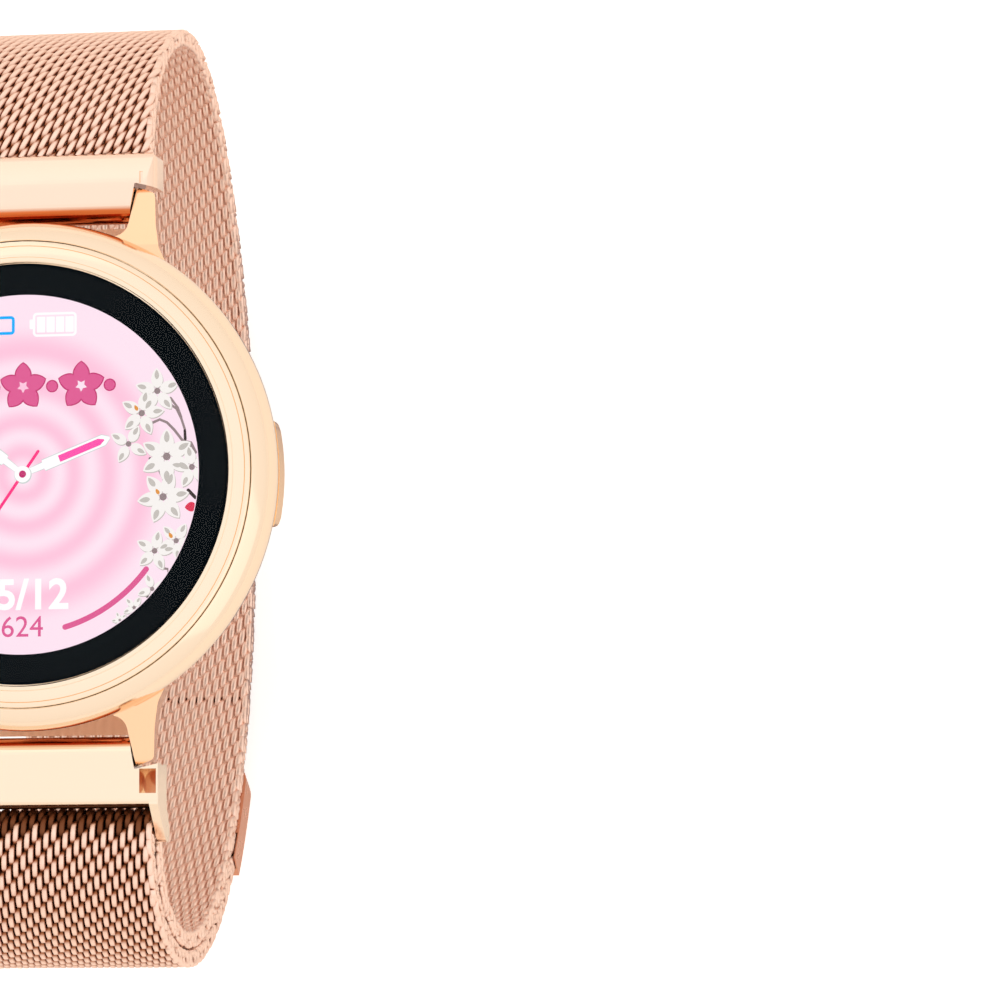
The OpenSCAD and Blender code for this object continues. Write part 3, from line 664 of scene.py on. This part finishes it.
BLOSSOMS = [           # centre, turn, size, petals
    ((11.3, 6.6), 20, 1.9, 5), ((10.0, 4.8), 150, 1.9, 5), ((8.9, 2.3), 60, 1.7, 4),
    ((12.1, 1.2), 30, 2.3, 6), ((11.8, -2.1), 8, 2.2, 6), ((14.2, 0.3), 100, 1.8, 5),
    ((11.1, -6.5), 150, 1.7, 5), ((12.9, -5.7), 60, 1.6, 5),
    ((10.9, -9.6), 110, 1.3, 4), ((9.4, -11.1), 60, 1.0, 5), ((8.2, -12.1), 40, 0.7, 5),
]
TWIGS = [              # points, width
    ([(10.9, 4.0), (11.5, 4.25), (12.1, 4.0), (12.7, 3.4), (13.4, 2.5)], 0.22),
    ([(12.0, 5.5), (12.5, 5.4), (12.9, 5.1), (13.3, 4.3), (13.6, 3.4), (13.6, 2.6), (13.3, 1.2)], 0.2),
    ([(12.4, 6.0), (13.0, 5.2), (13.3, 4.4)], 0.2),
    ([(13.6, 2.4), (14.1, 2.3), (14.5, 1.5)], 0.25),
    ([(13.3, 1.4), (13.8, 1.7), (14.2, 2.1)], 0.15),
    ([(11.4, 0.2), (11.8, -0.6), (12.0, -1.6)], 0.2),
    ([(11.6, -7.9), (12.2, -8.0), (12.6, -8.5)], 0.2),
]
DARK_TWIGS = [
    ([(12.3, 5.9), (12.4, 5.5)], 0.2), ([(13.6, 3.3), (13.65, 2.6)], 0.22), ([(13.3, 1.5), (13.2, 1.0)], 0.2),
    ([(10.7, 1.05), (11.3, 0.8)], 0.25), ([(9.5, 3.3), (9.7, 3.0)], 0.22),
    ([(13.9, -1.6), (14.5, -2.2)], 0.3), ([(10.2, -9.9), (10.6, -10.3)], 0.25),
]
ORNAMENT_X = (-4.9, 0, 4.9)
ORNAMENT_DOTS = (-7.3, -2.45, 2.45, 7.3)
ORNAMENT_Y = 7.2


def display_picture():
    """The whole picture, piece by piece, from the lowest layer up."""
    cells = [rounded(1.15 + 0.8 * k, 11.65, 1.85 + 0.8 * k, 12.95, 0.05) for k in range(4)]
    battery = [frame_line(0.9, 11.4, 4.4, 13.2, 0.25, 0.2), rounded(0.52, 11.95, 0.85, 12.75, 0.1)]
    drawn("display_battery", battery + cells, 1, WHITE)
    drawn("display_phone", [frame_line(-3.2, 11.65, -0.85, 12.95, 0.2, 0.24)], 1, BLUE)
    for name, grow, layer, colour in (("edge", 0.1, 1, DEEP_MAGENTA), ("fill", 0, 2, MAGENTA)):
        shapes = [petal((x, ORNAMENT_Y), 90 + 72 * k, 1.95 + grow, 1.25 + 2 * grow, 0.14)
                  for x in ORNAMENT_X for k in range(5)]
        shapes += [disc((x, ORNAMENT_Y), 0.42 + grow, 24) for x in ORNAMENT_DOTS]
        drawn(f"display_ornament_{name}", shapes, layer, colour)
    drawn("display_arc", [stroke(arc_line(13.1, -74, -37.5), 0.46)], 1, MAGENTA)
    figures("display_date", "25/12", (0, -10.0), 2.4, 0.09, WHITE, 1)
    figures("display_steps", "624", (0, -12.6), 1.7, 0.0, MAGENTA, 1)

    leaves, tips, middles = zip(*[blossom(*row) for row in BLOSSOMS])
    drawn("display_twigs", [stroke(*row) for row in TWIGS], 1, STEM_GREY)
    drawn("display_dark_twigs", [stroke(*row) for row in DARK_TWIGS], 2, DARK_BROWN)
    drawn("display_petal_edges", [outline + (0.05, -0.08) for group in leaves for outline in group],
          2, PETAL_GREY)
    drawn("display_petals", [outline for group in leaves for outline in group], 3, PETAL)
    drawn("display_petal_tips", [outline for group in tips for outline in group], 4, PETAL_GREY)
    drawn("display_blossom_hearts", [outline for group in middles for outline in group], 4, STEM_GREY)
    drawn("display_pollen", [petal(np.add(row[0], (-0.3, 0.15)), 120, 0.6, 0.3)
                             for row in BLOSSOMS[1:8:3]], 5, AMBER)
    drawn("display_red_petals", [petal((14.7, -2.9), 185, 1.1, 0.8)], 2, RED)

    hand("display_hour_hand", 142.3, 5.6, 4)
    hand("display_minute_hand", 21.4, 7.85, 4)
    drawn("display_second_hand", [stroke([(1.3, 1.85), (0, 0), (-5.2, -7.5)], 0.25)], 6, PINK_LINE)
    drawn("display_hub_edge", [disc((0.03, -0.05), 0.74)], 6, SHADE)
    drawn("display_hub", [disc((0, 0), 0.68)], 7, WHITE)
    drawn("display_hub_dot", [disc((0, 0), 0.3, 24)], 8, DEEP_MAGENTA)


display_picture()

# ---------------------------------------------------------------- CAD pieces

CAD_SLOTS = {
    "case_gold": ["bezel_ring", "loop_bar"],
    "cover_glass": ["cover_glass"],
    "black_print": ["glass_mask"],
    "display": ["display_panel"],
    "seal_rubber": ["glass_gasket", "button_oring", "back_gasket"],
    "flex_film": ["display_flex", "antenna_flex"],
    "frame_plastic": ["inner_frame"],
    "board_green": ["main_board", "sensor_board"],
    "chip_black": ["board_chips"],
    "plain_steel": ["shield_can", "vibration_motor", "button_clip", "back_screws", "bar_tubes", "bar_tips",
                    "bar_springs"],
    "magnet": ["charge_magnets", "clasp_magnets"],
    "battery_foil": ["battery"],
    "foam": ["battery_foam"],
    "back_plastic": ["back_cover", "button_switch", "switch_plunger"],
    "sensor_glass": ["sensor_window"],
    "sensor_diode": ["sensor_leds"],
    "contact_gold": ["charge_contacts"],
    "liner_rose": ["clasp_liner"],
}
for slot, names in CAD_SLOTS.items():
    for name in names:
        finish(bpy.data.objects[name], slot)
for name, paint in (("case_body", "lug_gold"), ("end_link", "link_gold"), ("loop_link", "loop_gold"),
                    ("side_button", "button_gold"), ("clasp_tab", "tab_rose")):
    finish(bpy.data.objects[name], "case_gold", FINISH[paint])

# ---------------------------------------------------------------- floor, light and camera

FLOOR_Z = -34.6
SHADOW_PATCH_Y = 4.0          # middle of the floor's painted shadow, a grey patch that the camera doesn't see
SHADOW_PATCH_HALF = (26, 22)  # half of its size across and along the band
SHADOW_PATCH_FADE = 5.0       # the patch fades out over this much
FLOOR_HALF = 12       # half of the floor's width, in metres


def floor_paint():
    """White to the camera; the metal mirrors it with a painted shadow, a cool grey close by, and a warm white
    beyond.
    """
    paint = material("floor_white", (0.9, 0.9, 0.9, 1), 0.0, (0.6, 0.7), 50, Emission_Strength=0.5)
    nodes, links = paint.node_tree.nodes, paint.node_tree.links
    nodes["Principled BSDF"].inputs["Emission Color"].default_value = (1, 1, 1, 1)
    place = nodes.new("ShaderNodeNewGeometry")
    moved = math_node(nodes, "ShaderNodeVectorMath", "ADD")
    moved.inputs[1].default_value = (0, -SHADOW_PATCH_Y * MM, 0)
    either_side = math_node(nodes, "ShaderNodeVectorMath", "ABSOLUTE")
    split = nodes.new("ShaderNodeSeparateXYZ")
    outside = math_node(nodes, "ShaderNodeMath", "MAXIMUM")
    links.new(place.outputs["Position"], moved.inputs[0])
    links.new(moved.outputs["Vector"], either_side.inputs[0])
    links.new(either_side.outputs["Vector"], split.inputs["Vector"])
    for n, axis in enumerate("XY"):
        reach = nodes.new("ShaderNodeMapRange")
        reach.inputs["From Min"].default_value = SHADOW_PATCH_HALF[n] * MM
        reach.inputs["From Max"].default_value = (SHADOW_PATCH_HALF[n] + SHADOW_PATCH_FADE) * MM
        links.new(split.outputs[axis], reach.inputs["Value"])
        links.new(reach.outputs["Result"], outside.inputs[n])
    ramp = nodes.new("ShaderNodeValToRGB")
    links.new(outside.outputs["Value"], ramp.inputs["Fac"])
    set_stops(ramp, (0.44, 0.40, 0.44, 1), (0.98, 0.93, 0.87, 1))
    grey = nodes.new("ShaderNodeBsdfDiffuse")
    links.new(ramp.outputs["Color"], grey.inputs["Color"])
    ray = nodes.new("ShaderNodeLightPath")
    pick = nodes.new("ShaderNodeMixShader")
    links.new(ray.outputs["Is Camera Ray"], pick.inputs["Fac"])
    links.new(grey.outputs["BSDF"], pick.inputs[1])
    links.new(nodes["Principled BSDF"].outputs["BSDF"], pick.inputs[2])
    links.new(pick.outputs["Shader"], nodes["Material Output"].inputs["Surface"])
    return paint


def stage_floor():
    """A level floor below the watch."""
    corners = [(x * FLOOR_HALF, y * FLOOR_HALF, 0) for x, y in ((-1, -1), (1, -1), (1, 1), (-1, 1))]
    mesh = bpy.data.meshes.new("floor")
    mesh.from_pydata(corners, [], [(0, 1, 2, 3)])
    floor = bpy.data.objects.new("floor", mesh)
    floor.location.z = FLOOR_Z * MM
    bpy.context.collection.objects.link(floor)
    floor.data.materials.append(floor_paint())


def studio_world():
    """An even white studio, a little warmer and dimmer down the walls."""
    world = bpy.data.worlds.new("studio")
    bpy.context.scene.world = world
    world.use_nodes = True
    nodes, links = world.node_tree.nodes, world.node_tree.links
    place = nodes.new("ShaderNodeTexCoord")
    split = nodes.new("ShaderNodeSeparateXYZ")
    ramp = nodes.new("ShaderNodeValToRGB")
    links.new(place.outputs["Generated"], split.inputs["Vector"])
    links.new(split.outputs["Z"], ramp.inputs["Fac"])
    set_stops(ramp, (0.90, 0.83, 0.75, 1), (1, 0.99, 0.97, 1),
              [(0.3, (0.93, 0.87, 0.80, 1)), (0.72, (0.95, 0.90, 0.84, 1))])
    links.new(ramp.outputs["Color"], nodes["Background"].inputs["Color"])
    nodes["Background"].inputs["Strength"].default_value = 1.12


def softbox(name, place, size, power):
    data = bpy.data.lights.new(name, "AREA")
    data.energy = power
    data.shape = "RECTANGLE"
    data.size, data.size_y = size
    lamp = bpy.data.objects.new(name, data)
    bpy.context.collection.objects.link(lamp)
    lamp.location = place
    lamp.rotation_mode = "QUATERNION"
    lamp.rotation_quaternion = Vector(place).to_track_quat("Z", "Y")


CAMERA_AZIMUTH = 9.807    # degrees from straight in front, towards 3 o'clock
CAMERA_RISE = -5.378      # degrees towards 12 o'clock
CAMERA_ROLL = -0.227
CAMERA_FAR = 0.450
CAMERA_SIDE = 0.037456    # how far the camera stands to the right, so that the watch sits at the left
CAMERA_UP = -0.001241
CAMERA_LENS = 193.8


def photo_camera():
    data = bpy.data.cameras.new("camera")
    data.lens = CAMERA_LENS
    data.clip_start, data.clip_end = 0.01, 10
    camera = bpy.data.objects.new("camera", data)
    bpy.context.collection.objects.link(camera)
    a, e, roll = (math.radians(v) for v in (CAMERA_AZIMUTH, CAMERA_RISE, CAMERA_ROLL))
    back = Vector((math.sin(a) * math.cos(e), math.sin(e), math.cos(a) * math.cos(e)))
    right = Vector((0, 1, 0)).cross(back).normalized()
    up = back.cross(right)
    turned = (right * math.cos(roll) + up * math.sin(roll),
              up * math.cos(roll) - right * math.sin(roll), back)
    place = turned[0] * CAMERA_SIDE + turned[1] * CAMERA_UP + turned[2] * CAMERA_FAR
    camera.matrix_world = Matrix.Translation(place) @ Matrix(turned).transposed().to_4x4()
    bpy.context.scene.camera = camera


stage_floor()
studio_world()
softbox("softbox_left", place=(-0.5, 0.5, 0.7), size=(0.8, 0.8), power=0.3)
softbox("softbox_right", place=(0.6, -0.3, 0.6), size=(0.6, 0.8), power=0.25)
photo_camera()
bpy.context.scene.view_settings.view_transform = "Standard"
